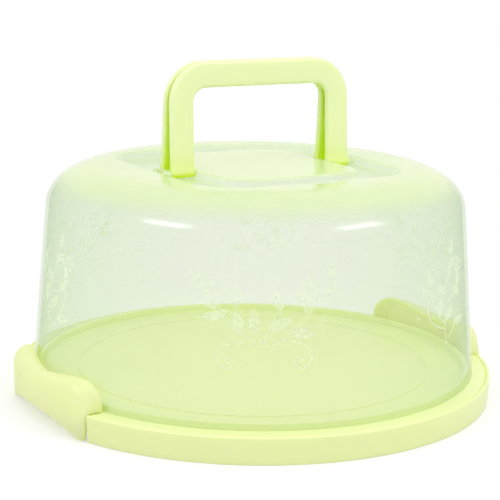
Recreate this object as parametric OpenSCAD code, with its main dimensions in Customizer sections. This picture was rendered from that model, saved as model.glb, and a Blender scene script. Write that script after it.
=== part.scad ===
// Cake carrier: a round serving base, a lift-off dome lid with two folding carry
// handles, and two hinged side clips that hold the lid to the base.
// Millimetres, +Z up. The origin is the middle of the base's underside.
// +X runs through the right clip and -Y is the front.

/* [Base] */
// Height of the base
base_h = 15; // [14:0.5:20]
// Thickness of the serving plate and of the rim's skirt
base_wall = 2; // [1.6:0.1:2.4]
// Width of the flat ledge between the lid and the rim's groove
ledge_w = 7.5; // [7:0.5:12]
// Width of the groove inside the rim's lip
groove_w = 1.4; // [1:0.1:2]
// Depth of that groove
groove_depth = 0.9; // [0.4:0.1:1.2]
// Width of the lip around the rim's edge
lip_w = 1.4; // [1:0.1:2]
// How much the rim narrows in radius down to the table
skirt_draft = 0.8; // [0:0.1:1.2]
// Height of the ring that centres the lid
ring_h = 3; // [2:0.5:6]
// Width of that ring
ring_w = 2.4; // [1.6:0.2:4]
// How far the serving plate lies below the ledge
plate_drop = 0.6; // [0:0.1:1]
// Diameter of the guide line on the serving plate
guide_d = 208; // [120:2:230]
// Width of that guide line
guide_w = 1.2; // [0.8:0.1:2]
// Number of ribs under the serving plate
rib_count = 12; // [6:1:18]
// Depth of those ribs
rib_depth = 6; // [3:0.5:8]

/* [Lid] */
// Outer diameter of the dome at its foot
lid_d = 259.4; // [240:0.2:300]
// Height of the dome from the ledge to its flat top
lid_h = 119.2; // [90:0.1:160]
// Thickness of the dome
lid_wall = 2; // [1.6:0.1:2.4]
// Lean of the dome's wall from upright, in degrees
lid_draft = 4.74; // [1:0.1:6]
// How far the rounded shoulder reaches in
shoulder_w = 34.6; // [20:0.1:36]
// Height of the rounded shoulder
shoulder_h = 23.4; // [16:0.1:40]
// Height of the catch bead's middle above the ledge
bead_z = 9; // [6:0.5:9.5]
// Radius of the catch bead
bead_r = 0.9; // [0.6:0.1:1]
// Half the length of the catch bead
bead_half_l = 18; // [10:1:24]

/* [Handles] */
// Overall width of a handle
handle_span = 117.6; // [100:0.2:124]
// Distance from a handle's hinge axis to its top
handle_reach = 62; // [50:1:66]
// Width of the handle's strip
strip_w = 14.7; // [10:0.1:18]
// Thickness of the handle's strip
strip_t = 4.4; // [4:0.1:5]
// Rounding of the strip's edges
strip_edge_r = 1.5; // [0.5:0.1:1.8]
// Inside radius of the handle's two bends
bend_inner_r = 8.4; // [4:0.2:16]
// Distance between the two handles' hinge axes
handle_axes = 11.6; // [10:0.2:14]
// Radius of the knuckle at each handle foot
knuckle_r = 2.5; // [2.3:0.1:2.8]
// Diameter of the handle's hinge pins
handle_pin_d = 2.6; // [2:0.1:3]
// How far a folded handle stands above the lid's flat top
handle_proud = 0.6; // [0:0.1:1]

/* [Clips] */
// Length of a clip along the rim
clip_l = 98.4; // [80:0.2:104]
// Thickness of the clip's shell
clip_wall = 2; // [1.6:0.1:2.4]
// How far a clip stands proud of the rim
clip_proud = 1.3; // [0.5:0.1:3]
// Height of a clip above the ledge at its middle
clip_rise = 13.1; // [12:0.1:18]
// Extra height of the two humps of its top edge
hump_h = 3.2; // [0:0.1:5]
// Distance of each hump from the clip's middle
hump_y = 36; // [24:1:38]
// Height of the arch in the clip's bottom edge
arch_h = 8.2; // [4:0.1:8.6]
// Half the width of that arch
arch_half = 45; // [30:1:46]
// Gap between the clip's bottom corners and the table
table_gap = 0.6; // [0.3:0.1:1.5]
// Height of the clip's rounded shoulder
clip_shoulder = 10; // [6:0.5:11]
// Corner radius of the top edge where it ends
end_corner_r = 12; // [4:0.5:12]
// Largest radius of the clip's rounded ends, at its top
end_round_r = 13; // [6:0.5:16]
// How far the crest stands out from the hook in the dip between the humps
crest_bow = 1.5; // [0:0.1:3]
// Diameter of the clip's hinge pins
clip_pin_d = 3; // [2:0.1:3.4]

/* [Clearances] */
// Gap between the centring ring and the dome's inside
ring_gap = 0.5; // [0.3:0.1:1]
// Gap between the catch bead and a closed clip
bead_gap = 0.9; // [0.3:0.1:1.5]
// Gap between a clip's end and the end of its notch in the rim
notch_gap = 0.8; // [0.4:0.1:1.5]
// Gap between the dome and the edge of the notch
seat_margin = 1.6; // [1:0.1:2]
// Gap beside each hinge knuckle
side_gap = 0.6; // [0.3:0.1:0.8]
// Radial gap of a pin in the piece that turns on it
pin_gap = 0.08; // [0.04:0.01:0.1]
// Radial gap of a pin in the piece that holds it
seat_gap = 0.02; // [0.01:0.01:0.05]
// Gap between a folded handle and the floor of its well
floor_gap = 0.4; // [0.3:0.1:1]
// Gap between the two handles where they meet
meet_gap = 0.3; // [0.2:0.1:0.6]
// Gap around a folded handle
fold_gap = 1.2; // [0.8:0.1:3]

/* [Hidden] */
$fn = 96;

eps = 0.01;
green = [0.86, 0.94, 0.68];
deep_green = [0.78, 0.90, 0.52];
clear_green = [0.90, 0.95, 0.84, 0.45];
pin_green = [0.74, 0.84, 0.52];

// Base
lid_r = lid_d / 2;
ledge_r = lid_r + ledge_w;
groove_r = ledge_r + groove_w;
base_r = groove_r + lip_w;
plate_z = base_h - plate_drop;
ring_outer_r = lid_r - lid_wall - ring_gap;
ring_inner_r = ring_outer_r - ring_w;
rib_w = base_wall * 0.8;
rib_hub_r = 18;
guide_h = 0.4;

// Lid
lid_top_z = base_h + lid_h;
shoulder_z = lid_top_z - shoulder_h;
shoulder_start = atan(shoulder_h / shoulder_w * tan(lid_draft));
shoulder_foot_z = shoulder_z + shoulder_h * sin(shoulder_start);
function dome_r(z) = lid_r - (z - base_h) * tan(lid_draft);
flat_r = dome_r(shoulder_foot_z) - shoulder_w * cos(shoulder_start);
shoulder_steps = 16;
bead_mid_z = base_h + bead_z;
bead_outer_r = dome_r(bead_mid_z) + bead_r;

// Handles and the well that they fold into
knuckle_x = handle_span / 2 - strip_w / 2;
well_depth = knuckle_r + strip_t / 2 + floor_gap - handle_proud;
well_floor_z = lid_top_z - well_depth;
handle_axis_z = well_floor_z + floor_gap + knuckle_r;
handle_axis_y = handle_axes / 2;
lean = asin((handle_axis_y - strip_t / 2 - meet_gap / 2) / handle_reach);
bend_mid_r = bend_inner_r + strip_w / 2;
island_x = handle_span / 2 - strip_w - side_gap;
island_y = handle_axis_y + handle_reach - strip_w - fold_gap;
island_corner_r = bend_inner_r + 10;
ear_t = 2.8;
ear_x = handle_span / 2 + side_gap;
ear_half_y = handle_axis_y + knuckle_r + 1.5;
ear_top_z = handle_axis_z + knuckle_r - 0.4;
pin_head_t = 0.8;
well_side_gap = 4;
well_x = ear_x + ear_t + pin_head_t + well_side_gap;
well_y = handle_axis_y + handle_reach + fold_gap + 0.5;
well_corner_r = 28;
finger_r = 15;
finger_y = well_y - 8;

// Clips
clip_outer_r = base_r + clip_proud;
clip_inner_r = bead_outer_r + bead_gap;
clip_half = clip_l / 2;
clip_axis_drop = 3;
clip_axis_inset = 11.6;
clip_axis_z = base_h - clip_axis_drop;
clip_axis_x = clip_outer_r - clip_axis_inset;
clip_knuckle_r = 2.8;
clip_arm_half = 2.2;
lug_r = 2.7;
lug_arm_half = 2.1;
ear_w = 4;
ear_end = clip_half - clip_wall - 3.4;
ear_start = ear_end - ear_w;
lug_end = ear_start - side_gap;
lug_w = 4;
lug_start = lug_end - lug_w;
clip_pin_inset = 0.3;
notch_inner_r = lid_r + seat_margin;
notch_half = clip_half + notch_gap;
notch_wall = 1.6;
notch_wall_x = clip_axis_x - 16;
notch_wall_z = 1;
lug_root_x = sqrt(pow(notch_inner_r, 2) - pow(notch_half, 2)) - 4;
clip_over_ledge = 0.6;
hook_h = 1.6;
hook_w = 1.5;
clip_top_t = 1.8;
crest_fall = 0.3;
shoulder_power = 0.77;
end_taper = 0.03;
end_low_r = 2.5;
skirt_edge_r = 1.5;

// A rectangle with round corners, centred, given by its half sizes
module round_rect(half_x, half_y, r) {
    square([2 * half_x, 2 * (half_y - r)], center = true);
    square([2 * (half_x - r), 2 * half_y], center = true);
    for (sx = [-1, 1], sy = [-1, 1])
        translate([sx * (half_x - r), sy * (half_y - r)]) circle(r);
}

// A bar along X or Y that starts at a point
module along_x(x, y, z, r, length) {
    translate([x, y, z]) rotate([0, 90, 0]) cylinder(r = r, h = length);
}
module along_y(x, y, z, r, length) {
    translate([x, y, z]) rotate([-90, 0, 0]) cylinder(r = r, h = length);
}

// ---- Base ----

// Section of the base: plate, centring ring, ledge, groove, lip and skirt
module base_section() {
    polygon([
        [0, plate_z - base_wall],
        [base_r - base_wall - skirt_draft * base_wall / base_h, plate_z - base_wall],
        [base_r - base_wall - skirt_draft, 0],
        [base_r - skirt_draft, 0],
        [base_r, base_h - 0.6],
        [base_r - 0.6, base_h],
        [groove_r, base_h],
        [groove_r - groove_w / 2, base_h - groove_depth],
        [ledge_r, base_h],
        [ring_outer_r, base_h],
        [ring_outer_r - 0.4, base_h + ring_h],
        [ring_inner_r + 0.4, base_h + ring_h],
        [ring_inner_r, plate_z],
        [0, plate_z]
    ]);
}

// The opening in the rim that takes a clip. Its sides are square to the hinge axis.
module clip_notch() {
    difference() {
        translate([lug_root_x, -notch_half, -1]) cube([base_r, 2 * notch_half, base_h + 2]);
        translate([0, 0, -2]) cylinder(r = notch_inner_r, h = base_h + 4);
    }
}

// Walls under the ledge that close the notch off from the hollow of the rim
module notch_walls() {
    intersection() {
        for (side = [-1, 1])
            translate([notch_wall_x, side > 0 ? notch_half : -notch_half - notch_wall, notch_wall_z])
                cube([base_r, notch_wall, plate_z - base_wall / 2 - notch_wall_z]);
        cylinder(r1 = base_r - skirt_draft - base_wall / 2, r2 = base_r - base_wall / 2, h = base_h);
    }
}

// Two lugs that carry a clip's hinge pins
module clip_lugs() {
    for (side = [-1, 1]) {
        lug_y = side > 0 ? lug_start : -lug_end;
        along_y(clip_axis_x, lug_y, clip_axis_z, lug_r, lug_w);
        translate([lug_root_x, lug_y, clip_axis_z - lug_arm_half])
            cube([clip_axis_x - lug_root_x, lug_w, 2 * lug_arm_half]);
    }
}

module base_tray() {
    plate_bottom = plate_z - base_wall;
    color(green) difference() {
        union() {
            difference() {
                rotate_extrude() base_section();
                for (turn = [0, 180]) rotate(turn) clip_notch();
            }
            for (turn = [0, 180]) rotate(turn) {
                clip_lugs();
                notch_walls();
            }
            translate([0, 0, plate_z - eps]) difference() {
                cylinder(d = guide_d, h = guide_h + eps);
                translate([0, 0, -1]) cylinder(d = guide_d - 2 * guide_w, h = guide_h + 2);
            }
            translate([0, 0, plate_bottom - rib_depth]) {
                difference() {
                    cylinder(d = guide_d, h = rib_depth + 1);
                    translate([0, 0, -1]) cylinder(d = guide_d - 2 * rib_w, h = rib_depth + 3);
                }
                difference() {
                    cylinder(r = rib_hub_r, h = rib_depth + 1);
                    translate([0, 0, -1]) cylinder(r = rib_hub_r - rib_w, h = rib_depth + 3);
                }
                for (i = [0:rib_count - 1]) rotate(360 * (i + 0.5) / rib_count)
                    translate([rib_hub_r - rib_w / 2, -rib_w / 2, 0])
                        cube([guide_d / 2 - rib_hub_r, rib_w, rib_depth + 1]);
            }
        }
        for (turn = [0, 180], side = [-1, 1]) rotate(turn)
            along_y(clip_axis_x, side > 0 ? lug_start - 1 : -lug_end - 1, clip_axis_z,
                    clip_pin_d / 2 + seat_gap, lug_w + 2);
    }
}

// ---- Lid ----

// Points of the shoulder's curve, set in by an inset, from the wall to the flat top
function shoulder(inset) = [
    for (i = [0:shoulder_steps])
        let (a = shoulder_start + (90 - shoulder_start) * i / shoulder_steps)
            [flat_r + (shoulder_w - inset) * cos(a), shoulder_z + (shoulder_h - inset) * sin(a)]
];

module dome_section() {
    polygon(concat(
        [[lid_r, base_h]],
        shoulder(0),
        [[0, lid_top_z], [0, lid_top_z - lid_wall]],
        [for (i = [shoulder_steps:-1:0]) shoulder(lid_wall)[i]],
        [[lid_r - lid_wall, base_h]]
    ));
}

// Outline of the well, grown by a margin
module well_outline(margin) {
    round_rect(well_x + margin, well_y + margin, well_corner_r + margin);
    for (side = [-1, 1]) translate([0, side * finger_y]) circle(finger_r + margin);
}

module island_outline(inset) {
    round_rect(island_x - inset, island_y - inset, island_corner_r);
}

// Bead under each clip that its hook catches
module catch_bead() {
    rotate(-bead_half_angle) rotate_extrude(angle = 2 * bead_half_angle)
        translate([dome_r(bead_mid_z), bead_mid_z]) circle(r = bead_r, $fn = 24);
}
bead_half_angle = asin(bead_half_l / clip_outer_r);

module hinge_ears() {
    for (side = [-1, 1])
        translate([side > 0 ? ear_x : -ear_x - ear_t, -ear_half_y, well_floor_z - 1])
            cube([ear_t, 2 * ear_half_y, ear_top_z - well_floor_z + 1]);
}

module lid_dome() {
    color(clear_green) difference() {
        union() {
            difference() {
                union() {
                    rotate_extrude() dome_section();
                    translate([0, 0, well_floor_z - lid_wall])
                        linear_extrude(lid_top_z - well_floor_z + lid_wall - eps)
                            well_outline(lid_wall);
                    for (turn = [0, 180]) rotate(turn) catch_bead();
                }
                difference() {
                    translate([0, 0, well_floor_z]) linear_extrude(well_depth + 1)
                        well_outline(0);
                    translate([0, 0, well_floor_z - 1]) linear_extrude(well_depth + 3)
                        island_outline(0);
                }
                translate([0, 0, well_floor_z - lid_wall - 1])
                    linear_extrude(lid_top_z - well_floor_z + 1) island_outline(lid_wall);
            }
            hinge_ears();
        }
        for (sy = [-1, 1])
            along_x(-ear_x - ear_t - 1, sy * handle_axis_y, handle_axis_z,
                    handle_pin_d / 2 + seat_gap, 2 * (ear_x + ear_t + 1));
    }
}

// ---- Handles ----

module strip_section() {
    round_rect(strip_w / 2, strip_t / 2, strip_edge_r);
}

// One handle standing upright over a hinge axis along X at the origin
module handle_shape() {
    straight = handle_reach - strip_w / 2 - bend_mid_r;
    bar = 2 * (knuckle_x - bend_mid_r);
    difference() {
        union() {
            for (side = [-1, 1]) {
                translate([side * knuckle_x, 0, 0]) linear_extrude(straight) strip_section();
                along_x(side * knuckle_x - strip_w / 2, 0, 0, knuckle_r, strip_w);
                translate([side * (knuckle_x - bend_mid_r), 0, straight])
                    rotate([90, 0, side > 0 ? 0 : 180])
                        rotate_extrude(angle = 90) translate([bend_mid_r, 0]) strip_section();
            }
            translate([-bar / 2, 0, handle_reach - strip_w / 2])
                rotate([90, 0, 90]) linear_extrude(bar) rotate(90) strip_section();
        }
        along_x(-handle_span / 2 - 1, 0, 0, handle_pin_d / 2 + pin_gap, handle_span + 2);
    }
}

// side is -1 for the front handle and 1 for the rear one
module handle(side) {
    color(deep_green) translate([0, side * handle_axis_y, handle_axis_z])
        rotate([side * lean, 0, 0]) handle_shape();
}
module front_handle() { handle(-1); }
module rear_handle() { handle(1); }

module handle_pin(side_x, side_y) {
    from_x = island_x - lid_wall - 0.5;
    color(pin_green) mirror([side_x < 0 ? 1 : 0, 0, 0]) {
        along_x(from_x, side_y * handle_axis_y, handle_axis_z, handle_pin_d / 2,
                ear_x + ear_t - from_x + eps);
        along_x(ear_x + ear_t, side_y * handle_axis_y, handle_axis_z, handle_pin_d / 2 + 0.6,
                pin_head_t);
    }
}
module front_handle_left_pin() { handle_pin(-1, -1); }
module front_handle_right_pin() { handle_pin(1, -1); }
module rear_handle_left_pin() { handle_pin(-1, 1); }
module rear_handle_right_pin() { handle_pin(1, 1); }

// ---- Clips ----

// Height of the top edge at a distance from the clip's middle
function hump(y) = hump_h * (1 - cos(180 * min(abs(y) / hump_y, 1))) / 2;
function corner_drop(y) =
    let (d = clip_half - abs(y), r = end_corner_r)
        d < r ? r - sqrt(r * r - pow(r - d, 2)) : 0;
function clip_top(y) = base_h + clip_rise + hump(y) - corner_drop(y);

// Height of the bottom edge, which arches so that the clip can swing above a table
function clip_bottom(y) =
    table_gap + arch_h * (1 - pow(min(abs(y) / arch_half, 1), 2.2));

// How far the rounded ends draw the outer face in at a height
function end_round(y, z) =
    let (
        d = clip_half - abs(y),
        share = min((z - base_h) / (clip_rise + hump_h), 1),
        r = share > 0 ? end_low_r + (end_round_r - end_low_r) * share : skirt_edge_r
    ) d < r ? r - sqrt(r * r - pow(r - d, 2)) : 0;

function arc_x(r, y) = sqrt(r * r - y * y);

// The crest lies above the hook at the humps and bows outward between them. From the
// crest the top falls inward to the hook's edge.
function bow(y) = crest_bow * (1 + cos(180 * min(abs(y) / hump_y, 1))) / 2;
function crest_x(y) = arc_x(clip_inner_r + hook_w + bow(y), y);
function hook_top_z(y) = clip_top(y) - crest_fall - bow(y);
function hook_z(y) = hook_top_z(y) - hook_h;
shell_steps = 8;

// The clip's outside line at y: up the outer face and over the shoulder to the hook
function outer_line(y, inset) =
    let (
        x_face = arc_x(clip_outer_r - inset, y),
        x_top = crest_x(y),
        z_top = clip_top(y) - inset * clip_top_t / clip_wall,
        z_crease = max(clip_top(y) - clip_shoulder, base_h - 1)
    ) [
        for (i = [0:shell_steps])
            let (
                up = pow(sin(90 * i / shell_steps), shoulder_power),
                out = pow(cos(90 * i / shell_steps), shoulder_power),
                z = z_crease + (z_top - z_crease) * up,
                x = x_top + (x_face - x_top) * out
            ) [max(x - end_round(y, z) * out, x_top), z]
    ];

// The inner line at y of the hollow shell, from the bottom edge up to the hook's tip
function hollow_line(y) = concat(
    [[arc_x(clip_outer_r - clip_wall, y), clip_bottom(y)]],
    outer_line(y, clip_wall),
    [[arc_x(clip_inner_r + hook_w, y), hook_z(y)], [arc_x(clip_inner_r, y), hook_z(y)]]
);

// The same line where the end wall fills the shell
function filled_line(y) =
    let (
        z_low = base_h + clip_over_ledge,
        x_face = arc_x(clip_outer_r - clip_wall, y),
        x_corner = x_face - end_round(y, z_low),
        x_in = arc_x(clip_inner_r, y)
    ) concat(
        [[x_face, clip_bottom(y)]],
        [for (i = [0:shell_steps]) [x_corner + (x_in - x_corner) * i / (shell_steps + 1), z_low]],
        [[x_in, z_low], [x_in, (z_low + hook_z(y)) / 2]]
    );

// One closed ring of points at y
function clip_ring(y, filled) = concat(
    [[arc_x(clip_outer_r, y), clip_bottom(y)]],
    outer_line(y, 0),
    [[arc_x(clip_inner_r, y), hook_top_z(y)]],
    [let (line = filled ? filled_line(y) : hollow_line(y))
        for (i = [len(line) - 1:-1:0]) line[i]]
);

// Places along Y of the rings of points, close together where the ends are round,
// each with whether the end wall fills the ring
end_steps = 2;
body_steps = 28;
end_start = clip_half - clip_wall;
body_start = end_start - 0.1;
clip_stations = concat(
    [for (i = [0:end_steps]) [-clip_half + clip_wall * i / end_steps, true]],
    [for (i = [0:body_steps])
        let (t = 1 - 2 * i / body_steps) [-body_start * sin(90 * t) * 0.5 - body_start * t * 0.5, false]],
    [for (i = [0:end_steps]) [end_start + clip_wall * i / end_steps, true]]
);

// The clip's ends lean in a little below the ledge
function lean_in(y, z) = y * (1 - end_taper * max(0, 1 - z / base_h));

// The shell of the clip that sits at +X
module clip_shell() {
    rings = [
        for (s = clip_stations)
            [for (p = clip_ring(s[0], s[1])) [p[0], lean_in(s[0], p[1]), p[1]]]
    ];
    n = len(rings[0]);
    m = len(rings);
    points = [for (ring = rings) for (p = ring) p];
    sides = [
        for (j = [0:m - 2], i = [0:n - 1])
            let (a = j * n + i, b = j * n + (i + 1) % n)
                each [[a, b, b + n], [a, b + n, a + n]]
    ];
    first = [for (i = [0:n - 1]) n - 1 - i];
    last = [for (i = [0:n - 1]) (m - 1) * n + i];
    polyhedron(points, concat(sides, [first, last]), convexity = 8);
}

module clip() {
    difference() {
        union() {
            clip_shell();
            for (side = [-1, 1]) {
                y = side > 0 ? ear_start : -ear_end;
                along_y(clip_axis_x, y, clip_axis_z, clip_knuckle_r, ear_w);
                translate([clip_axis_x, y, clip_axis_z - clip_arm_half])
                    cube([arc_x(clip_outer_r - clip_wall / 2, ear_end) - clip_axis_x, ear_w,
                          2 * clip_arm_half]);
            }
        }
        for (side = [-1, 1])
            along_y(clip_axis_x, side > 0 ? ear_start - 1 : -ear_end - 1, clip_axis_z,
                    clip_pin_d / 2 + pin_gap, ear_w + 2);
    }
}
module right_clip() { color(green) clip(); }
module left_clip() { color(green) rotate(180) clip(); }

module clip_pin(turn, side) {
    length = ear_end - lug_start - 2 * clip_pin_inset;
    color(pin_green) rotate(turn)
        along_y(clip_axis_x, side > 0 ? lug_start + clip_pin_inset : -ear_end + clip_pin_inset,
                clip_axis_z, clip_pin_d / 2, length);
}
module left_clip_front_pin() { clip_pin(180, 1); }
module left_clip_rear_pin() { clip_pin(180, -1); }
module right_clip_front_pin() { clip_pin(0, -1); }
module right_clip_rear_pin() { clip_pin(0, 1); }

base_tray();
lid_dome();
front_handle();
rear_handle();
left_clip();
right_clip();
front_handle_left_pin();
front_handle_right_pin();
rear_handle_left_pin();
rear_handle_right_pin();
left_clip_front_pin();
left_clip_rear_pin();
right_clip_front_pin();
right_clip_rear_pin();
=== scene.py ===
import bmesh
import bpy
import math
from mathutils import Matrix, Vector


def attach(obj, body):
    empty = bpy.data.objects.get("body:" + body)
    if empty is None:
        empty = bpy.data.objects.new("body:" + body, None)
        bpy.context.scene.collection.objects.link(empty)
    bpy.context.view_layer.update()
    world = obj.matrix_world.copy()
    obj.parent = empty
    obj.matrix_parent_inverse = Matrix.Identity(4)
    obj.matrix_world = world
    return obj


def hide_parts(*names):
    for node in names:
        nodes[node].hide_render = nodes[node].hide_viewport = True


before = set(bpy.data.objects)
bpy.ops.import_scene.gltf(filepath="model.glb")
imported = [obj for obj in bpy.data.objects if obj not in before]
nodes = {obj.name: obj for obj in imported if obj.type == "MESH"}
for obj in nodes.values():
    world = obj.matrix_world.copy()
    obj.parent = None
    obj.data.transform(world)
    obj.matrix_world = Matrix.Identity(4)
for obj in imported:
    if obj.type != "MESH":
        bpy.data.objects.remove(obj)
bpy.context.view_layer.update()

scene = bpy.context.scene
mm = 0.001
print("frame loaded:", len(nodes), "pieces from the model")


cameraSetup = {
    "spot": (-0.4466, -0.7616, 0.2734),   # where it stands, in metres
    "aim": (-0.00246, 0.00143, 0.0825),
    "lens": 110.59,                       # mm, on a sensor 36 mm wide
    "sensor": 36,
    "roll": 1.0,                          # degrees, as the photo leans
}


def placeCamera(setup):
    cam = bpy.data.cameras.new("photoCamera")
    cam.lens = setup["lens"]
    cam.sensor_width = setup["sensor"]
    cam.clip_start = 0.05
    cam.clip_end = 60
    holder = bpy.data.objects.new("photoCamera", cam)
    scene.collection.objects.link(holder)
    spot = Vector(setup["spot"])
    look = (Vector(setup["aim"]) - spot).to_track_quat("-Z", "Y")
    tilt = Matrix.Rotation(math.radians(setup["roll"]), 4, "Z")
    holder.matrix_world = Matrix.Translation(spot) @ look.to_matrix().to_4x4() @ tilt
    scene.camera = holder


placeCamera(cameraSetup)
print("camera placed")


def linear(r, g, b):
    # from a screen's 0 to 255 to the values that a shader takes
    out = []
    for c in (r, g, b):
        c = c / 255
        out.append(c / 12.92 if c <= 0.04045 else ((c + 0.055) / 1.055) ** 2.4)
    return (*out, 1.0)


def freshMaterial(name):
    mat = bpy.data.materials.new(name)
    mat.use_nodes = True
    mat.node_tree.nodes.clear()
    return mat, mat.node_tree


def feed(tree, socket, value):
    # value is another node's socket, or a plain number or colour
    if isinstance(value, bpy.types.NodeSocket):
        tree.links.new(value, socket)
    else:
        socket.default_value = value


def addNode(tree, kind, inputs=None, **settings):
    made = tree.nodes.new(kind)
    for key, value in settings.items():
        setattr(made, key, value)
    for key, value in (inputs or {}).items():
        feed(tree, made.inputs[key], value)
    return made


def sums(tree, kind, *values):
    made = tree.nodes.new("ShaderNodeMath")
    made.operation = kind
    for socket, value in zip(made.inputs, values):
        feed(tree, socket, value)
    return made.outputs[0]


def spread(tree, value, low, high, outLow, outHigh, smooth=False):
    made = addNode(tree, "ShaderNodeMapRange", {
        "Value": value, "From Min": low, "From Max": high, "To Min": outLow, "To Max": outHigh})
    if smooth:
        made.interpolation_type = "SMOOTHSTEP"
    return made.outputs[0]


def blendColours(tree, share, first, second):
    made = tree.nodes.new("ShaderNodeMix")
    made.data_type = "RGBA"
    for place, value in ((0, share), (6, first), (7, second)):   # a colour mix has its sockets here
        feed(tree, made.inputs[place], value)
    return made.outputs[2]


def noise(tree, place, scale, detail=2):
    made = addNode(tree, "ShaderNodeTexNoise", {"Vector": place, "Scale": scale, "Detail": detail})
    return made.outputs["Fac"]


def shaderMix(tree, share, first, second):
    return addNode(tree, "ShaderNodeMixShader", {0: share, 1: first.outputs[0], 2: second.outputs[0]})


def clearGlass(tree, colour=(1, 1, 1, 1)):
    return addNode(tree, "ShaderNodeBsdfTransparent", {"Color": colour})


def finishMaterial(tree, shader):
    addNode(tree, "ShaderNodeOutputMaterial", {"Surface": shader.outputs[0]})


def meshPiece(name, points, faces, material, body, slot, crease=40):
    shape = bpy.data.meshes.new(name)
    shape.from_pydata([(x * mm, y * mm, z * mm) for x, y, z in points], [], faces)
    shape.validate()
    work = bmesh.new()
    work.from_mesh(shape)
    bmesh.ops.recalc_face_normals(work, faces=work.faces)
    work.to_mesh(shape)
    work.free()
    shape.shade_smooth()
    shape.set_sharp_from_angle(angle=math.radians(crease))
    piece = bpy.data.objects.new(name, shape)
    scene.collection.objects.link(piece)
    shape.materials.append(material)
    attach(piece, body)
    return piece


def joinRings(rings):
    # rings of equal length to points, and quads between neighbours
    count = len(rings[0])
    points = [p for ring in rings for p in ring]
    faces = []
    for j in range(len(rings) - 1):
        for i in range(count):
            a, b = j * count + i, j * count + (i + 1) % count
            faces.append((a, b, b + count, a + count))
    return points, faces


def cappedRings(rings):
    # the same, with a face over each end
    points, faces = joinRings(rings)
    count, total = len(rings[0]), len(points)
    faces += [tuple(range(count - 1, -1, -1)), tuple(range(total - count, total))]
    return points, faces


def addPart(points, faces, part):
    # part is points and faces of its own
    offset = len(points)
    points += part[0]
    faces += [tuple(v + offset for v in f) for f in part[1]]


greenPlastic = {
    "colour": (237, 246, 178),
    "paintedBounceColour": (222, 250, 100),      # painted bounce light: the saturated colour of light bounced between green walls, laid into hollows
    "throughColour": (226, 250, 120),   # light that has come through a wall
    "depth": 0.010,                     # how far round a point its shelter is felt for the painted bounce light, in metres
    "paintedBounceOpenness": (0.02, 0.52),             # how open a place is where the painted bounce light is full, and where it ends
    "ownOnly": True,                    # only the piece's own hollows get the painted bounce light
    "roughness": 0.32,
    "refraction": 1.48,
    "cloud": 0.012,                     # how much the colour wanders
    "cloudScale": 22,
    "grainScale": 900,                  # the mould's fine texture
    "grainHigh": 0.0001,
    "glow": 0.25,                       # share of light that spreads inside the plastic
    "glowReach": 0.005,
    "glowColours": (0.9, 1.0, 0.4),
    "through": 0.08,                    # share that passes right through a wall
    "thin": False,                      # whether a wall counts once, like the dome's
}
# handles and clips also take the painted bounce light in the gaps between parts
handlePlastic = dict(greenPlastic, colour=(243, 252, 197), paintedBounceColour=(226, 252, 0), depth=0.022,
                     paintedBounceOpenness=(0.20, 0.86), ownOnly=False, roughness=0.22, glow=0.3, through=0.16)
clipPlastic = dict(greenPlastic, colour=(246, 247, 208), paintedBounceColour=(240, 254, 70), ownOnly=False,
                   through=0.38, throughColour=(250, 255, 120), thin=True)
pinPlastic = dict(greenPlastic, colour=(232, 243, 196), roughness=0.42)
domePlastic = {
    "wallColour": (222, 233, 214),
    "capColour": (225, 239, 188),
    "channelColour": (232, 242, 218),
    "wallTint": (0.922, 0.949, 0.898),    # what one wall lets through, seen square on
    "capTint": (0.895, 0.94, 0.835),
    "wallHaze": 0.16,                     # how milky one wall is, seen square on
    "capHaze": 0.56,
    "wallMost": 0.22,                     # the milkiest that each gets at its edges
    "capMost": 0.98,
    "flattest": 0.14,                     # a slanting look goes through at most 1 / this walls
    "hazeGrain": 0.05,                    # speckle in the milk of the cap
    "grainScale": 2600,
    "cloudScale": 14,
    "capLine": (0.1190, 0.1310),          # heights over which the greener cap begins, in metres
    "channelTop": (0.1325, 0.1335),       # the channel round the island: below this,
    "channelBed": (0.1265, 0.1270),       # above this,
    "channelOut": (0.088, 0.090),         # and no further out than this
    "channelShare": 0.35,                 # how far it goes from the cap's look to the wall's
    "shadowEase": 0.7,                    # share of the lamps' light that passes unchanged
    "roughness": 0.15,
    "lightThrough": 0.62,                 # share of the milk's light that goes on through
    "paler": 0.6,                         # and how far its colour goes to white
    "shine": (0.04, 0.8),                 # how much it mirrors, square on and along the skin
}


def mouldedPlastic(name, look):
    mat, tree = freshMaterial(name)
    place = addNode(tree, "ShaderNodeTexCoord").outputs["Object"]
    cloud = noise(tree, place, look["cloudScale"])
    low, high = 1 - look["cloud"], 1 + look["cloud"]
    r, g, b = linear(*look["colour"])[:3]
    body = blendColours(tree, cloud, (r * low, g * low, b * low, 1), (r * high, g * high, b * high, 1))
    # painted shade and bounce light: the more sheltered a place is, by ambient occlusion, the more of the
    # saturated painted colour it takes
    near = addNode(tree, "ShaderNodeAmbientOcclusion", {"Distance": look["depth"]},
                   samples=8, only_local=look["ownOnly"])
    shade = spread(tree, near.outputs["AO"], *look["paintedBounceOpenness"], 1, 0)
    colour = blendColours(tree, shade, body, linear(*look["paintedBounceColour"]))
    rough = spread(tree, cloud, 0.3, 0.7, look["roughness"] - 0.02, look["roughness"] + 0.03)
    grain = noise(tree, place, look["grainScale"], 1)
    bump = addNode(tree, "ShaderNodeBump", {"Height": grain, "Strength": 0.02, "Distance": look["grainHigh"]})
    plastic = addNode(tree, "ShaderNodeBsdfPrincipled", {
        "Base Color": colour, "Roughness": rough, "Normal": bump.outputs[0],
        "IOR": look["refraction"], "Subsurface Weight": look["glow"], "Subsurface Scale": look["glowReach"],
        "Subsurface Radius": look["glowColours"]})
    lit = addNode(tree, "ShaderNodeBsdfTranslucent", {"Color": linear(*look["throughColour"])})
    walls = shaderMix(tree, look["through"], plastic, lit)
    if look["thin"]:
        leaving = addNode(tree, "ShaderNodeNewGeometry").outputs["Backfacing"]
        walls = shaderMix(tree, leaving, walls, clearGlass(tree))
    finishMaterial(tree, walls)
    return mat


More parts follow.
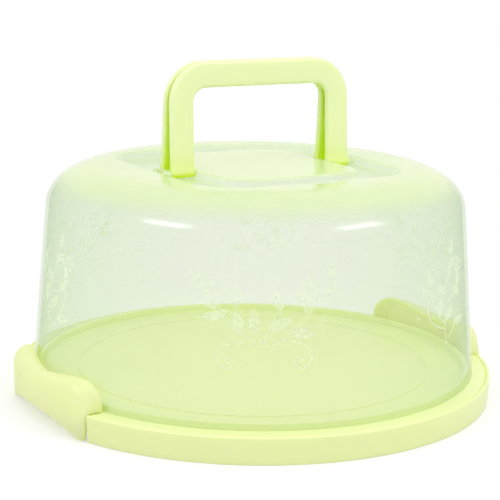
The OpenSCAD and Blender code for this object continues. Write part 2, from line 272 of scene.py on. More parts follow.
def milkyPlastic(name, look):
    mat, tree = freshMaterial(name)
    place = addNode(tree, "ShaderNodeTexCoord").outputs["Object"]
    height = addNode(tree, "ShaderNodeSeparateXYZ", {"Vector": place}).outputs["Z"]
    cap = spread(tree, height, *look["capLine"], 0, 1, smooth=True)
    cloud = noise(tree, place, look["cloudScale"])
    r, g, b = linear(*look["wallColour"])[:3]
    wall = blendColours(tree, cloud, (r * 0.97, g * 0.98, b * 0.97, 1), (r * 1.03, g * 1.02, b * 1.03, 1))
    colour = blendColours(tree, cap, wall, linear(*look["capColour"]))
    # the channel round the island is nearly as clear as the wall
    across = addNode(tree, "ShaderNodeVectorMath", {0: place, 1: (1, 1, 0)}, operation="MULTIPLY").outputs[0]
    away = addNode(tree, "ShaderNodeVectorMath", {0: across}, operation="LENGTH").outputs["Value"]
    under = spread(tree, height, *look["channelTop"], 1, 0)
    channel = sums(tree, "MULTIPLY", under, spread(tree, away, *look["channelOut"], 1, 0))
    channel = sums(tree, "MULTIPLY", channel, spread(tree, height, *look["channelBed"], 0, 1))
    colour = blendColours(tree, channel, colour, linear(*look["channelColour"]))
    # a slanting look goes through more plastic, so the skin is milkier and darker towards the edges
    facing = addNode(tree, "ShaderNodeLayerWeight", {"Blend": 0.5}).outputs["Facing"]
    square = sums(tree, "MAXIMUM", sums(tree, "SUBTRACT", 1.0, facing), look["flattest"])
    longer = sums(tree, "DIVIDE", 1.0, square)
    greener = sums(tree, "SUBTRACT", cap, sums(tree, "MULTIPLY", channel, look["channelShare"]))
    clear = spread(tree, greener, 0, 1, 1 - look["wallHaze"], 1 - look["capHaze"])
    grain = noise(tree, place, look["grainScale"], 1)
    grain = spread(tree, grain, 0.35, 0.65, -look["hazeGrain"], look["hazeGrain"])
    clear = sums(tree, "ADD", clear, sums(tree, "MULTIPLY", grain, greener))
    clear = sums(tree, "POWER", clear, longer)
    leastClear = spread(tree, greener, 0, 1, 1 - look["wallMost"], 1 - look["capMost"])
    clear = sums(tree, "MAXIMUM", clear, leastClear)
    haze = sums(tree, "SUBTRACT", 1.0, clear)
    tint = blendColours(tree, greener, (*look["wallTint"], 1), (*look["capTint"], 1))
    tint = addNode(tree, "ShaderNodeGamma", {"Color": tint, "Gamma": longer}).outputs[0]
    plastic = addNode(tree, "ShaderNodeBsdfPrincipled", {
        "Base Color": colour, "Roughness": 0.6, "Specular IOR Level": 0.0})
    pale = blendColours(tree, look["paler"], colour, (1, 1, 1, 1))
    lit = addNode(tree, "ShaderNodeBsdfTranslucent", {"Color": pale})
    milk = shaderMix(tree, look["lightThrough"], plastic, lit)
    skin = shaderMix(tree, haze, clearGlass(tree, tint), milk)
    rough = spread(tree, cloud, 0.3, 0.7, look["roughness"] - 0.02, look["roughness"] + 0.02)
    gloss = addNode(tree, "ShaderNodeBsdfGlossy", {"Color": (1, 1, 1, 1), "Roughness": rough})
    mirror = spread(tree, sums(tree, "POWER", facing, 5.0), 0, 1, *look["shine"])
    glazed = shaderMix(tree, mirror, skin, gloss)
    # each wall counts once: light that leaves the plastic passes its far skin unchanged
    leaving = addNode(tree, "ShaderNodeNewGeometry").outputs["Backfacing"]
    shadow = addNode(tree, "ShaderNodeLightPath").outputs["Is Shadow Ray"]
    leaving = sums(tree, "MAXIMUM", leaving, sums(tree, "MULTIPLY", shadow, look["shadowEase"]))
    finishMaterial(tree, shaderMix(tree, leaving, glazed, clearGlass(tree)))
    return mat


basePlastic = mouldedPlastic("basePlastic", greenPlastic)
handleFinish = mouldedPlastic("handlePlastic", handlePlastic)
clipFinish = mouldedPlastic("clipPlastic", clipPlastic)
pinFinish = mouldedPlastic("pinPlastic", pinPlastic)
domeFinish = milkyPlastic("domePlastic", domePlastic)

for name, piece in nodes.items():
    finish = pinFinish if name.endswith("_pin") else handleFinish if "handle" in name else basePlastic
    piece.data.materials.clear()
    piece.data.materials.append(finish)
print("plastics made")


# shapes are in mm and degrees from here on
domeShape = {
    "footRadius": 129.7, "footZ": 15.0, "topZ": 134.2, "wall": 2.0, "draft": 4.74,
    "shoulderWide": 34.6, "shoulderHigh": 23.4,
    "wellHalf": (67.0, 69.5), "wellCorner": 28.0, "fingerRadius": 15.0, "fingerY": 61.5,
    "islandHalf": (43.5, 51.9), "islandCorner": 18.4,
    "wellDeep": 4.5, "edgeRound": 0.7, "floorRound": 0.8, "insideRound": 0.5, "wellSoft": 2.0,
    "beadZ": 24.0, "beadRadius": 0.9, "beadHalf": 18.0, "beadEnd": 1.2,
    "aboveBead": 26.5, "underBead": (20.0, 16.0),
    "footOuter": ((0, 0.4), (0.15, 0.1), (0.5, 0)),   # in from the wall's outer face, and up from the foot
    "footInner": ((0.5, 0), (0.1, 0.2)),              # out from its inner face, and up
    "around": 288, "shoulderSteps": 30,
}


def domeRadius(z):
    return domeShape["footRadius"] - (z - domeShape["footZ"]) * math.tan(math.radians(domeShape["draft"]))


def roundRectGap(x, y, halfX, halfY, corner):
    qx, qy = abs(x) - halfX + corner, abs(y) - halfY + corner
    return math.hypot(max(qx, 0), max(qy, 0)) + min(max(qx, qy), 0) - corner


def islandGap(x, y):
    return roundRectGap(x, y, *domeShape["islandHalf"], domeShape["islandCorner"])


def wellGap(x, y):
    rect = roundRectGap(x, y, *domeShape["wellHalf"], domeShape["wellCorner"])
    finger = math.hypot(x, abs(y) - domeShape["fingerY"]) - domeShape["fingerRadius"]
    soft = domeShape["wellSoft"]                     # the two shapes run together over this width
    h = min(max(0.5 + 0.5 * (finger - rect) / soft, 0), 1)
    return finger + (rect - finger) * h - soft * h * (1 - h)


def outlineRadii(gap, margin, angles):
    # distance from the middle at each angle where the outline, grown by margin, lies
    radii = []
    for angle in angles:
        near, far = 5.0, 120.0
        for halving in range(34):
            middle = (near + far) / 2
            if gap(middle * math.cos(angle), middle * math.sin(angle)) < margin:
                near = middle
            else:
                far = middle
        radii.append((near + far) / 2)
    return radii


hingeEar = {
    "innerX": 59.4, "thick": 2.8, "halfY": 9.8, "topZ": 134.7, "footZ": 129.2, "corner": 2.6, "edge": 0.35,
}


def earSlab(ear, side):
    # one slab that holds two handle feet, with its upper corners and its rims rounded
    outline = [(-ear["halfY"], ear["footZ"]), (ear["halfY"], ear["footZ"])]
    for sy, first in ((1, 0), (-1, 90)):
        for k in range(6):
            a = math.radians(first + 90 * k / 5)
            outline.append((sy * (ear["halfY"] - ear["corner"]) + ear["corner"] * math.cos(a),
                            ear["topZ"] - ear["corner"] + ear["corner"] * math.sin(a)))
    middleZ = (ear["footZ"] + ear["topZ"]) / 2
    rim = [(x * ear["edge"], inset * ear["edge"]) for x, inset in ((0, 1), (0.12, 0.4), (1, 0))]
    loops = []
    for x, inset in rim + [(ear["thick"] - x, inset) for x, inset in rim[::-1]]:
        loops.append([(side * (ear["innerX"] + x), y * (1 - inset / ear["halfY"]), z - inset * (z > middleZ))
                      for y, z in outline])
    return cappedRings(loops)


def buildDome(shape):
    # rings from the top's middle out, down the wall, round its foot and back up inside
    angles = [2 * math.pi * i / shape["around"] for i in range(shape["around"])]
    cache = {}

    def outline(gap, margin):
        key = (gap.__name__, round(margin, 4))
        if key not in cache:
            cache[key] = outlineRadii(gap, margin, angles)
        return cache[key]

    def between(first, second, share):
        return [a + (b - a) * share for a, b in zip(first, second)]

    def circle(radius):
        return [radius] * len(angles)

    def arc(steps):
        return [math.radians(90 * k / steps) for k in range(steps + 1)]

    top, wall = shape["topZ"], shape["wall"]
    floor = top - shape["wellDeep"]
    shoulderZ = top - shape["shoulderHigh"]
    slope = math.tan(math.radians(shape["draft"]))
    start = math.atan(shape["shoulderHigh"] / shape["shoulderWide"] * slope)
    footOfShoulder = shoulderZ + shape["shoulderHigh"] * math.sin(start)
    flat = domeRadius(footOfShoulder) - shape["shoulderWide"] * math.cos(start)
    steps = shape["shoulderSteps"]
    rings = []                                       # (radii, height)

    def skin(drop, shift, edge, fillet, flatRing):
        # island, channel and flat of one skin, from the middle outward
        roof, bed = top - drop, floor - drop
        inner = outline(islandGap, -shift - edge)
        made = [([r * share for r in inner], roof) for share in (0.3, 0.6, 0.85)]
        for a in arc(5):
            made.append((outline(islandGap, -shift - edge + edge * math.sin(a)),
                         roof - edge + edge * math.cos(a)))
        for a in arc(4):
            made.append((outline(islandGap, -shift + fillet - fillet * math.cos(a)),
                         bed + fillet - fillet * math.sin(a)))
        innerBed, outerBed = outline(islandGap, -shift + fillet), outline(wellGap, shift - fillet)
        made += [(between(innerBed, outerBed, share), bed) for share in (0.25, 0.5, 0.75)]
        for a in arc(4):
            made.append((outline(wellGap, shift - fillet + fillet * math.sin(a)),
                         bed + fillet - fillet * math.cos(a)))
        for a in arc(5):
            made.append((outline(wellGap, shift + edge - edge * math.cos(a)),
                         roof - edge + edge * math.sin(a)))
        made.append((between(outline(wellGap, shift + edge), flatRing, 0.5), roof))
        return made

    def onShoulder(k, inset):
        a = math.radians(90) + (start - math.radians(90)) * k / steps
        return (flat + (shape["shoulderWide"] - inset) * math.cos(a),
                shoulderZ + (shape["shoulderHigh"] - inset) * math.sin(a))

    rings += skin(0, 0, shape["edgeRound"], shape["floorRound"], circle(flat))
    for k in range(steps + 1):
        radius, z = onShoulder(k, 0)
        rings.append((circle(radius), z))
    beadZ, beadR = shape["beadZ"], shape["beadRadius"]
    beadRows = [beadZ + beadR * math.cos(math.radians(22.5 * k)) for k in range(9)]
    wallRows = [footOfShoulder + (shape["aboveBead"] - footOfShoulder) * k / 14 for k in range(1, 15)]
    for z in (*wallRows, *beadRows, *shape["underBead"]):
        radii = circle(domeRadius(z))
        bulge = math.sqrt(max(beadR ** 2 - (z - beadZ) ** 2, 0))
        if bulge > 0:          # the bead that a clip's hook passes, on the left and right only
            left = [shape["beadHalf"] - abs(r * math.sin(a)) for r, a in zip(radii, angles)]
            radii = [r + bulge * min(max(rest / shape["beadEnd"], 0), 1) ** 0.5
                     for r, rest in zip(radii, left)]
        rings.append((radii, z))
    foot, footZ = shape["footRadius"], shape["footZ"]
    rings += [(circle(foot - x), footZ + z) for x, z in shape["footOuter"]]
    rings += [(circle(foot - wall + x), footZ + z) for x, z in shape["footInner"]]
    for z in [footZ + 1 + (footOfShoulder - footZ - 1) * k / 12 for k in range(13)]:
        rings.append((circle(domeRadius(z) - wall), z))
    for k in range(steps, -1, -1):
        radius, z = onShoulder(k, wall)
        if radius > flat + wall + 1.4:          # the last steps would run into the inner flat
            rings.append((circle(radius), z))
    inside = shape["insideRound"]
    rings += skin(wall, wall, inside, inside, circle(flat + wall + 1.2))[::-1]

    loops = [[(r * math.cos(a), r * math.sin(a), z) for r, a in zip(radii, angles)] for radii, z in rings]
    points, faces = joinRings(loops)
    faces = [f[::-1] for f in faces]
    count = len(angles)
    last = len(points) - count
    points += [(0, 0, top), (0, 0, top - wall)]
    for i in range(count):
        faces.append((i, (i + 1) % count, len(points) - 2))
        faces.append((last + (i + 1) % count, last + i, len(points) - 1))
    for side in (-1, 1):
        addPart(points, faces, earSlab(hingeEar, side))
    return meshPiece("domeShell", points, faces, domeFinish, "lid", "dome", crease=50)


dome = buildDome(domeShape)
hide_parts("lid_dome")
print("dome built")


handleShape = {
    "span": 117.6, "reach": 62.0, "wide": 14.7, "thick": 4.4, "bend": 15.75, "edge": 1.95, "crown": 0.10,
    "knuckle": 2.5, "footEdge": 0.6, "axisY": 5.8, "axisZ": 132.6, "lean": 3.19,
    "cuts": (0.6, 1.2, 1.8, 2.6, 3.6, 4.8, 6.2, 8.0, 12.0, 20.0, 30.0),   # heights of sections up a leg
    "thickens": 4, "softens": 6,          # heights by which a leg has its full thickness and rounding
}


def eased(t):
    t = min(max(t, 0), 1)
    return t ** 2 * (3 - 2 * t)


def buildHandle(name, side, body, replaced, shape):
    # one strip swept from a foot up its leg, over the grip and down to the other foot
    h = shape
    half, k = h["wide"] / 2, h["knuckle"]
    legX = h["span"] / 2 - half
    straight = h["reach"] - half - h["bend"]
    halfThick = h["thick"] / 2

    def section(thick, edge):
        # one cross-section as (across, through) points
        edge = min(edge, thick * 0.92)
        points = []
        for sa, sb, first in ((1, 1, 0), (-1, 1, 90), (-1, -1, 180), (1, -1, 270)):
            for i in range(9):
                a = math.radians(first + 90 * i / 8)
                points.append((sa * (half - edge) + edge * math.cos(a),
                               sb * (thick - edge) + edge * math.sin(a)))
            if sa == sb:          # a few points along the broad faces, for the crown
                turn = 1 if sb > 0 else -1
                points += [(turn * (half - edge) * f, sb * thick) for f in (0.6, 0.2, -0.2, -0.6)]
        crown = h["crown"] * min(edge / halfThick, 1)
        return [(a, b * (1 - crown * (a / half) ** 2)) for a, b in points]

    leg = []                      # (height, half thickness, edge) from the foot up
    for i in range(11):
        a = math.radians(4 + 86 * i / 10)
        leg.append((-k * math.cos(a), k * math.sin(a), h["footEdge"]))
    for z in h["cuts"]:
        leg.append((z, k + (halfThick - k) * eased(z / h["thickens"]),
                    h["footEdge"] + (h["edge"] - h["footEdge"]) * eased(z / h["softens"])))
    full = (halfThick, h["edge"])
    stations = [((-legX, z), (-1, 0), t, e) for z, t, e in leg]   # place, way across, half thickness, edge
    for i in range(19):
        a = math.radians(180 - 90 * i / 18)
        middle = (-legX + h["bend"], straight)
        stations.append(((middle[0] + h["bend"] * math.cos(a), middle[1] + h["bend"] * math.sin(a)),
                         (math.cos(a), math.sin(a)), *full))
    bar = 2 * (legX - h["bend"])
    for i in range(1, 6):
        stations.append(((-bar / 2 + bar * i / 6, straight + h["bend"]), (0, 1), *full))
    stations += [((-x, z), (-nx, nz), t, e) for (x, z), (nx, nz), t, e in stations[len(leg) + 18::-1]]
    lean = math.radians(h["lean"]) * side
    loops = []
    for (x, z), (nx, nz), thick, edge in stations:
        loop = []
        for a, b in section(thick, edge):
            px, py, pz = x + nx * a, b, z + nz * a
            loop.append((px, py * math.cos(lean) - pz * math.sin(lean) + side * h["axisY"],
                         py * math.sin(lean) + pz * math.cos(lean) + h["axisZ"]))
        loops.append(loop)
    piece = meshPiece(name, *cappedRings(loops), handleFinish, body, "handle", crease=45)
    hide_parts(replaced)


buildHandle("frontHandleBail", -1, "handle_front", "front_handle", handleShape)
buildHandle("rearHandleBail", 1, "handle_rear", "rear_handle", handleShape)
print("handles built")


vinePrint = {
    "sprays": 3,                 # of each kind, in turn round the wall
    "firstAt": -118.0,           # degrees
    "low": 59.0,                 # height where the stems start
    "stem": 0.8,                 # a stem's width at its foot
    "lift": (0.03, 0.11),        # the ink's two faces above the wall
    "ink": (250, 254, 242),
    "cover": 0.5,
    "coverScale": 420,
    "tallShift": (-6.0, -5.0),   # the tall sprays stand a little aside and lower, in degrees and mm
    "tallWider": 1.35,
}


def frostedInk(look):
    mat, tree = freshMaterial("frostedInk")
    place = addNode(tree, "ShaderNodeTexCoord").outputs["Object"]
    grain = noise(tree, place, look["coverScale"])
    cover = spread(tree, grain, 0.3, 0.7, look["cover"] - 0.1, look["cover"] + 0.1)
    ink = addNode(tree, "ShaderNodeBsdfPrincipled", {
        "Base Color": linear(*look["ink"]), "Roughness": 0.7, "Specular IOR Level": 0.1})
    lit = addNode(tree, "ShaderNodeBsdfTranslucent", {"Color": linear(*look["ink"])})
    leaving = addNode(tree, "ShaderNodeNewGeometry").outputs["Backfacing"]
    share = sums(tree, "MULTIPLY", cover, sums(tree, "SUBTRACT", 1.0, leaving))
    finishMaterial(tree, shaderMix(tree, share, clearGlass(tree), shaderMix(tree, 0.6, ink, lit)))
    return mat


def bent(start, aim, length, turn, count=14):
    # points of a stem that leaves start in direction aim and turns evenly, in degrees
    x, y = start
    points = [(x, y)]
    for i in range(count):
        a = math.radians(aim + turn * (i + 0.5) / count)
        x, y = x + math.cos(a) * length / count, y + math.sin(a) * length / count
        points.append((x, y))
    return points


def widened(line, widths):
    # a mark: the two edges of a line that is as wide as widths say
    left, right = [], []
    for i, (x, y) in enumerate(line):
        x0, y0 = line[max(i - 1, 0)]
        x1, y1 = line[min(i + 1, len(line) - 1)]
        size = math.hypot(x1 - x0, y1 - y0)
        nx, ny = -(y1 - y0) / size * widths[i] / 2, (x1 - x0) / size * widths[i] / 2
        left.append((x + nx, y + ny))
        right.append((x - nx, y - ny))
    return left, right


def stemMark(start, aim, length, turn, wide):
    line = bent(start, aim, length, turn)
    return widened(line, [wide * (1 - 0.55 * i / (len(line) - 1)) for i in range(len(line))]), line


def leafMarks(start, aim, length, plump=0.44):
    # a leaf is two halves with its rib left bare between them
    line = bent(start, aim, length, 14, 12)
    widths = [max(length * plump * math.sin(math.pi * (i / 12) ** 0.8) ** 0.9, 0.06) for i in range(13)]
    left, right = widened(line, widths)
    ribs = widened(line, [min(0.35, w * 0.3) for w in widths])
    return [(left, ribs[0]), (ribs[1], right)]


def dotMark(middle, radius):
    x, y = middle
    line = [(x - radius * math.cos(math.pi * i / 8), y) for i in range(9)]
    return widened(line, [max(2 * radius * math.sin(math.pi * i / 8), 0.05) for i in range(9)])


def blossomMarks(middle, radius, turned):
    # five plump petals round a dot
    marks = [dotMark(middle, radius * 0.2)]
    widths = [max(radius * 0.62 * math.sin(math.pi * (i / 8) ** 1.25), 0.05) for i in range(9)]
    for k in range(5):
        a = turned + 72 * k
        start = (middle[0] + radius * 0.3 * math.cos(math.radians(a)),
                 middle[1] + radius * 0.3 * math.sin(math.radians(a)))
        marks.append(widened(bent(start, a, radius * 0.75, 0, 8), widths))
    return marks


def curlMark(start, aim, size, hand):
    # a tendril that winds up on itself
    x, y = start
    line = [(x, y)]
    a = aim
    for i in range(34):
        share = i / 33
        step = size * (0.16 - 0.125 * share)
        a += hand * (5 + 27 * share)
        x, y = x + step * math.cos(math.radians(a)), y + step * math.sin(math.radians(a))
        line.append((x, y))
    return widened(line, [0.85 - 0.4 * i / 34 for i in range(35)])


def leafyStem(start, aim, length, turn, leaves, size, wide):
    # leaves to either side in turn, and one at the tip
    mark, line = stemMark(start, aim, length, turn, wide)
    marks = [mark]
    for k in range(leaves):
        i = round((0.28 + 0.66 * k / max(leaves - 1, 1)) * (len(line) - 2))
        (x0, y0), (x1, y1) = line[i], line[i + 1]
        along = math.degrees(math.atan2(y1 - y0, x1 - x0))
        hand = 1 if k % 2 else -1
        marks += leafMarks((x0, y0), along + hand * 48, size * (1.1 - 0.35 * k / leaves))
    (x0, y0), (x1, y1) = line[-2], line[-1]
    marks += leafMarks((x1, y1), math.degrees(math.atan2(y1 - y0, x1 - x0)), size)
    return marks


def wideSpray(wide):
    marks = []
    for stem in (((0, 0), 78, 36, -42, 3, 11.5), ((0, 1), 120, 30, 40, 2, 11.0),
                 ((-2, 0), 152, 44, -34, 3, 11.5), ((3, 0), 28, 46, 38, 3, 11.5)):
        marks += leafyStem(*stem, wide)
    marks += blossomMarks((-16, 26), 5.6, 10) + blossomMarks((25, 28), 5.2, 40)
    marks += [curlMark((10, 3), 10, 13, -1), curlMark((-10, 2), 172, 12, 1)]
    for spot, size in (((4, 33), 1.1), ((-4, 29), 0.9), ((31, 13), 1.0), ((-25, 26), 0.9), ((38, 28), 1.1)):
        marks.append(dotMark(spot, size))
    return marks


def tallSpray(wide, wider):
    marks = []
    for stem in (((0, -8), 96, 50, -26, 3, 10.0), ((2, -4), 38, 30, 56, 2, 9.5),
                 ((0, 4), 140, 26, -50, 2, 9.5)):
        marks += leafyStem(*stem, wide)
    marks += [curlMark((-1, 2), 166, 15, -1), curlMark((2, 16), 12, 14, 1)]
    marks += blossomMarks((14, 34), 4.8, 20)
    for spot, size in (((-8, 36), 1.1), ((-19, 12), 1.1), ((22, 8), 1.0)):
        marks.append(dotMark(spot, size))
    return [([(u * wider, v) for u, v in left], [(u * wider, v) for u, v in right]) for left, right in marks]


def printVines(look):
    # each mark is wrapped round the wall as a thin closed ribbon of ink
    points, faces = [], []
    reach = domeRadius(look["low"] + 20)
    kinds = (wideSpray(look["stem"]), tallSpray(look["stem"], look["tallWider"]))
    for turn in range(look["sprays"]):
        for kind, marks in enumerate(kinds):
            middle = look["firstAt"] + 360 / look["sprays"] * (turn + kind / 2) + kind * look["tallShift"][0]
            low = look["low"] + kind * look["tallShift"][1]
            for left, right in marks:
                base = len(points)
                for pair in zip(left, right):
                    for lift in look["lift"]:
                        for u, v in pair:
                            a, z = math.radians(middle) + u / reach, low + v
                            r = domeRadius(z) + lift
                            points.append((r * math.cos(a), r * math.sin(a), z))
                last = base + 4 * (len(left) - 1)
                for b in range(base, last, 4):
                    faces += [(b, b + 1, b + 5, b + 4), (b + 2, b + 6, b + 7, b + 3),
                              (b, b + 4, b + 6, b + 2), (b + 1, b + 3, b + 7, b + 5)]
                faces += [(base, base + 2, base + 3, base + 1), (last, last + 1, last + 3, last + 2)]
    return meshPiece("vinePrint", points, faces, frostedInk(look), "lid", "dome", crease=60)


printVines(vinePrint)
print("vines printed")


clipShape = {
    "half": 49.2, "wall": 2.0, "outerR": 141.3, "innerR": 130.754, "ledgeZ": 15.0, "rise": 13.1,
    "hump": 3.2, "humpY": 36.0, "arch": 8.2, "archHalf": 45.0, "tableGap": 0.6, "shoulder": 10.0,
    "endCorner": 12.0, "endRound": 13.0, "endLow": 2.5, "skirtEdge": 1.5, "bow": 1.5, "hookWide": 1.5,
    "hookHigh": 1.6, "topThick": 1.8, "crestFall": 0.3, "fullness": 0.77, "taper": 0.03, "overLedge": 0.3,
    "axisX": 129.7, "axisZ": 12.0, "knuckleR": 2.8, "armHalf": 2.2, "earFrom": 39.8, "earTo": 43.8,
    "steps": 18, "stations": 84, "creaseStep": 0.22, "creaseHalf": 30.0, "endSteps": 6,
}


def knuckle(c, side, reachX):
    # barrel round the hinge pin with the arm that joins it to the clip's wall
    profile = []
    for k in range(25):
        a = math.radians(50 + 260 * k / 24)
        profile.append((c["axisX"] + c["knuckleR"] * math.cos(a), c["axisZ"] + c["knuckleR"] * math.sin(a)))
    profile += [(reachX, c["axisZ"] - c["armHalf"]), (reachX, c["axisZ"] + c["armHalf"])]
    y0, y1 = (c["earFrom"], c["earTo"]) if side > 0 else (-c["earTo"], -c["earFrom"])
    loops = []
    for y, inset in ((y0, 0.3), (y0 + 0.1, 0.1), (y0 + 0.35, 0), (y1 - 0.35, 0), (y1 - 0.1, 0.1), (y1, 0.3)):
        share = 1 - inset / c["knuckleR"]
        loops.append([(c["axisX"] + (x - c["axisX"]) * (share if x < c["axisX"] else 1), y,
                       c["axisZ"] + (z - c["axisZ"]) * share) for x, z in profile])
    return cappedRings(loops)


def buildClip(name, turn, body, replaced, shape):
    # a hollow shell of cross-sections along y, solid at its ends; turned, it is the left one
    c = shape

    def arcX(radius, y):
        return math.sqrt(radius * radius - y * y)

    def lobe(y):
        return math.cos(math.pi * min(abs(y) / c["humpY"], 1))

    def cornerDrop(y, radius):
        d = c["half"] - abs(y)
        return radius - math.sqrt(radius ** 2 - (radius - d) ** 2) if d < radius else 0

    def top(y):
        return c["ledgeZ"] + c["rise"] + c["hump"] * (1 - lobe(y)) / 2 - cornerDrop(y, c["endCorner"])

    def bottom(y):
        return c["tableGap"] + c["arch"] * (1 - min(abs(y) / c["archHalf"], 1) ** 2.2)

    def endRound(y, z):
        share = min((z - c["ledgeZ"]) / (c["rise"] + c["hump"]), 1)
        low = c["skirtEdge"] + (c["endLow"] - c["skirtEdge"]) * min(max(share * 8 + 0.5, 0), 1)
        return cornerDrop(y, low + (c["endRound"] - c["endLow"]) * max(share, 0))

    def bow(y):
        return c["bow"] * (1 + lobe(y)) / 2

    def crestX(y):
        return arcX(c["innerR"] + c["hookWide"] + bow(y), y)

    def hookTop(y):
        return top(y) - c["crestFall"] - bow(y)

    def overShoulder(y, inset):
        # from the crease in the outer face up over the rounded shoulder to the crest
        face, crest = arcX(c["outerR"] - inset, y), crestX(y)
        peak = top(y) - inset * c["topThick"] / c["wall"]
        crease = max(top(y) - c["shoulder"], c["ledgeZ"] - 1)
        step = 0 if inset else c["creaseStep"] * min(max((c["creaseHalf"] - abs(y)) / 10, 0), 1)
        line = []
        for i in range(c["steps"] + 1):
            a = math.radians(90 * i / c["steps"])
            up, out = math.sin(a) ** c["fullness"], max(math.cos(a), 0) ** c["fullness"]
            x = max(crest + (face - crest - endRound(y, crease + (peak - crease) * up)) * out, crest)
            line.append((x - step * math.cos(a), crease + (peak - crease) * up))
        if inset == 0:
            line.insert(0, (line[0][0] + step, line[0][1] - 0.3))
        return line

    def ring(y, filled):
        # out of the foot, up the outer face, over to the hook and back down inside
        footX, footZ = arcX(c["outerR"], y) - endRound(y, bottom(y)), bottom(y)
        tip, hook = arcX(c["innerR"], y), hookTop(y)
        under = hook - c["hookHigh"]
        face = arcX(c["outerR"] - c["wall"], y)
        skirt = min(face, footX - 0.4)
        low = c["ledgeZ"] + c["overLedge"]
        line = [(max(skirt + 0.1, footX - 0.5), footZ), (footX - 0.1, footZ + 0.35), (footX, footZ + 4)]
        line += overShoulder(y, 0)
        line += [(tip + 0.5, hook + 0.02), (tip + 0.12, hook - 0.15), (tip, hook - 0.5)]
        if filled:
            corner = face - endRound(y, low)
            count = c["steps"] + 1
            inner = [(corner + (tip - corner) * i / count, low) for i in range(count)]
            inner += [(tip, low), (tip, (low + under) / 2)]
        else:
            inner = overShoulder(y, c["wall"])
            inner += [(arcX(c["innerR"] + c["hookWide"], y), under), (tip, under)]
        line += inner[::-1] + [(skirt, footZ)]
        # the skirt's ends draw in towards the table
        return [(x, y * (1 - c["taper"] * max(0, 1 - z / c["ledgeZ"])), z) for x, z in line]

    wall, half, count = c["wall"], c["half"], c["endSteps"]
    places = [(-half + wall * i / count, True) for i in range(count + 1)]
    reach = half - wall - 0.1
    for i in range(c["stations"] + 1):      # sections stand closer together towards the ends
        t = 1 - 2 * i / c["stations"]
        places.append((-reach * (math.sin(math.radians(90 * t)) + t) / 2, False))
    places += [(half - wall + wall * i / count, True) for i in range(count + 1)]
    points, faces = cappedRings([ring(y, filled) for y, filled in places])
    for side in (-1, 1):
        addPart(points, faces, knuckle(c, side, arcX(c["outerR"] - wall / 2, c["earTo"])))
    if turn:
        points = [(-x, -y, z) for x, y, z in points]
    piece = meshPiece(name, points, faces, clipFinish, body, "clip", crease=38)
    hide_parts(replaced)


buildClip("rightClipShell", False, "clip_right", "right_clip", clipShape)
buildClip("leftClipShell", True, "clip_left", "left_clip", clipShape)
print("clips built")


lightSetup = {
    "world": 0.86,   # light from all round
    "softboxes": [   # name, spot, aim, size, watts
        ("leftBox", (-1.29, -0.13, 1.18), (-0.09, -0.07, 0.119), (0.66, 0.30), 5.5),
        ("rightBox", (0.74, -1.12, 1.12), (-0.01, -0.12, 0.119), (0.66, 0.30), 4.7),
    ],
    "fill": ("topFill", (0.15, -0.35, 1.5), (0.0, 0.0, 0.1), (1.3, 1.3), 4.5),   # makes no highlight
    "floorColours": ((246, 247, 245), (252, 252, 251)),
    "floorBounce": (226, 227, 224),   # what it sends back onto the object
    "floorWide": 12,
    "fade": (0.13, 0.28),             # the shadow fades out between these distances, in metres
    "leastGlow": 0.45,                # how much of it is gone already at the part
}


def looked(tree):
    # 1 for the camera, mirrors and clear plastic, and 0 for the light that falls on things
    ray = addNode(tree, "ShaderNodeLightPath").outputs
    mirrored = sums(tree, "MAXIMUM", ray["Is Glossy Ray"], ray["Is Transmission Ray"])
    return sums(tree, "MAXIMUM", ray["Is Camera Ray"], mirrored)


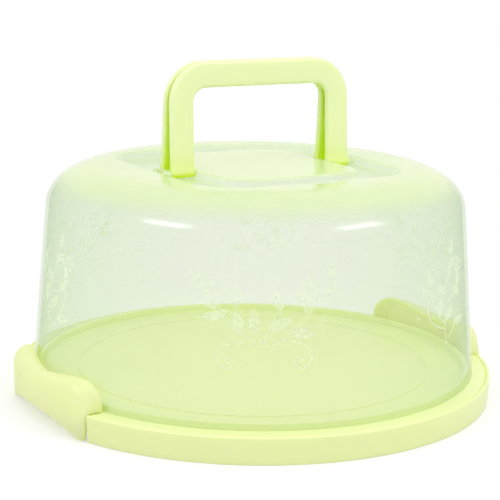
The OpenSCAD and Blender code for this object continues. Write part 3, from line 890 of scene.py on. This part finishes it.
def whiteWorld(strength):
    world = bpy.data.worlds.new("studio")
    scene.world = world
    world.use_nodes = True
    tree = world.node_tree
    tree.nodes.clear()
    light = addNode(tree, "ShaderNodeBackground", {"Color": (1, 1, 1, 1), "Strength": strength})
    plain = addNode(tree, "ShaderNodeBackground", {"Color": (1, 1, 1, 1), "Strength": 1.0})
    mixed = shaderMix(tree, looked(tree), light, plain)
    addNode(tree, "ShaderNodeOutputWorld", {"Surface": mixed.outputs[0]})


def whiteFloor(setup):
    mat, tree = freshMaterial("floorPaper")
    place = addNode(tree, "ShaderNodeTexCoord").outputs["Object"]
    away = addNode(tree, "ShaderNodeVectorMath", {0: place}, operation="LENGTH").outputs["Value"]
    fade = spread(tree, away, *setup["fade"], setup["leastGlow"], 1.0, smooth=True)
    seen = looked(tree)
    first, second = setup["floorColours"]
    paper = blendColours(tree, noise(tree, place, 60), linear(*first), linear(*second))
    paper = blendColours(tree, seen, linear(*setup["floorBounce"]), paper)
    sheet = addNode(tree, "ShaderNodeBsdfPrincipled", {"Base Color": paper, "Roughness": 0.7})
    glow = addNode(tree, "ShaderNodeEmission", {"Color": (1, 1, 1, 1), "Strength": 1.0})
    finishMaterial(tree, shaderMix(tree, sums(tree, "MULTIPLY", seen, fade), sheet, glow))
    shape = bpy.data.meshes.new("floorSheet")
    wide = setup["floorWide"]
    angles = [2 * math.pi * i / 64 for i in range(64)]
    rim = [(wide * math.cos(a), wide * math.sin(a), -0.0002) for a in angles]   # just under the part
    shape.from_pydata(rim, [], [tuple(range(64))])
    floor = bpy.data.objects.new("floorSheet", shape)
    scene.collection.objects.link(floor)
    shape.materials.append(mat)


def softbox(name, spot, aim, size, watts):
    lamp = bpy.data.lights.new(name, "AREA")
    lamp.shape = "RECTANGLE"
    lamp.size, lamp.size_y = size
    lamp.energy = watts
    holder = bpy.data.objects.new(name, lamp)
    scene.collection.objects.link(holder)
    holder.location = spot
    holder.rotation_mode = "QUATERNION"
    holder.rotation_quaternion = (Vector(aim) - Vector(spot)).to_track_quat("-Z", "Y")
    return holder


whiteWorld(lightSetup["world"])
whiteFloor(lightSetup)
for box in lightSetup["softboxes"]:
    softbox(*box)
softbox(*lightSetup["fill"]).visible_glossy = False
scene.view_settings.view_transform = "Standard"
scene.cycles.transparent_max_bounces = 32   # a look through the dome crosses many clear skins
print("floor and lights placed")
